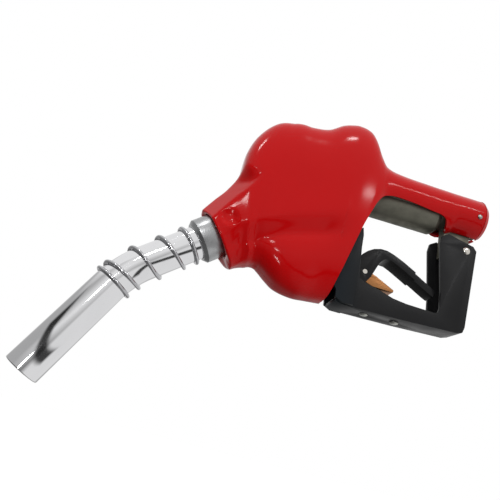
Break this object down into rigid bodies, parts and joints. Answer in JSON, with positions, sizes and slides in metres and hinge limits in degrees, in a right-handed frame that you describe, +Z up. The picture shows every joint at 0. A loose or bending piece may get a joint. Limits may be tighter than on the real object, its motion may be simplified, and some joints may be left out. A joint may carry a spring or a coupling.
{
  "type": "automatic shut-off fuel nozzle",
  "caption": "Automatic shut-off fuel nozzle: bent metal spout with coil spring, soft red body cover, squeeze lever on a sliding plunger, hold-open clip and lever guard",
  "frame": {"origin": "centre of the hose inlet's face on the handle's axis", "axes": "X runs along the handle with +X out of the inlet towards the hose, Z up with the lever and spout tip below, Y across the nozzle with XZ as its symmetry plane"},
  "size_m": [0.2963, 0.049, 0.2479],
  "materials": {
    "cast_alloy": "as-cast aluminium, matt",
    "red_vinyl": "dip-moulded glossy vinyl",
    "zinc_collar": "die-cast, satin",
    "polished_alloy": "polished tube",
    "spring_wire": "bright wire",
    "bright_steel": "ground and plated",
    "dark_steel": "hardened, oiled",
    "plated_screw": "zinc plated",
    "turned_brass": "turned",
    "black_nylon": "moulded, satin",
    "black_rubber": "moulded seal",
    "white_packing": "pressed packing",
    "bronze_clip": "pressed bronze strip"
  },
  "bodies": {
    "nozzle": {"body_casting": "cast_alloy", "main_valve_cap": "cast_alloy", "diaphragm_cap": "cast_alloy", "hand_cover": "red_vinyl", "spout_collar": "zinc_collar", "spout_tube": "polished_alloy", "spout_spring": "spring_wire", "main_spring": "spring_wire", "diaphragm_spring": "spring_wire", "plunger_spring": "spring_wire", "inlet_strainer": "bright_steel", "rear_pin": "bright_steel", "latch_ring": "dark_steel", "hold_open_rack": "dark_steel", "rack_rivets": "dark_steel", "collar_set_screw": "dark_steel", "guard_screws": "plated_screw", "cap_screws": "plated_screw", "cover_rivets": "plated_screw", "check_seat": "turned_brass", "check_guide": "turned_brass", "main_seat": "turned_brass", "packing_nut": "turned_brass", "vent_tube": "turned_brass", "vent_ferrule": "turned_brass", "guard": "black_nylon", "diaphragm": "black_rubber", "cap_gasket": "black_rubber", "spout_o_rings": "black_rubber", "stem_packing": "white_packing"},
    "plunger": {"plunger": "bright_steel", "latch_balls": "bright_steel", "plunger_pin": "bright_steel"},
    "lever": {"lever": "black_nylon", "lever_roller": "bright_steel", "roller_pin": "bright_steel", "clip_pin": "bright_steel", "clip_spring": "spring_wire"},
    "clip": {"hold_open_clip": "bronze_clip"},
    "main_valve": {"valve_stem": "bright_steel", "main_poppet": "turned_brass", "poppet_seal": "black_rubber"},
    "check_valve": {"check_poppet": "black_nylon", "check_spring": "spring_wire"},
    "latch": {"latch_pin": "bright_steel", "diaphragm_plate": "bright_steel"}
  },
  "joints": [
    {"name": "shut_off_drop", "type": "slide", "parent": "nozzle", "child": "plunger", "axis": [0.2079, 0, -0.9781], "range_m": [0, 0.0065], "stiffness_N_per_m": 300},
    {"name": "lever_pivot", "type": "hinge", "parent": "plunger", "child": "lever", "pos_m": [-0.135, 0, -0.076], "axis": [0, -1, 0], "range_deg": [0, 20], "stiffness_Nm_per_rad": 0.6},
    {"name": "hold_open_pivot", "type": "hinge", "parent": "lever", "child": "clip", "pos_m": [-0.087, 0, -0.0705], "axis": [0, 1, 0], "range_deg": [0, 30], "stiffness_Nm_per_rad": 0.03},
    {"name": "valve_lift", "type": "slide", "parent": "nozzle", "child": "main_valve", "axis": [0, 0, 1], "range_m": [0, 0.009], "deforming": ["main_spring"]},
    {"name": "check_lift", "type": "slide", "parent": "nozzle", "child": "check_valve", "axis": [-0.766, 0, -0.6428], "range_m": [0, 0.0045], "stiffness_N_per_m": 200},
    {"name": "latch_lift", "type": "slide", "parent": "nozzle", "child": "latch", "axis": [-0.2079, 0, 0.9781], "range_m": [0, 0.0025], "stiffness_N_per_m": 200}
  ],
  "couplings": [
    {"joint": "valve_lift", "follows": "lever_pivot", "m_per_rad": 0.02547}
  ]
}
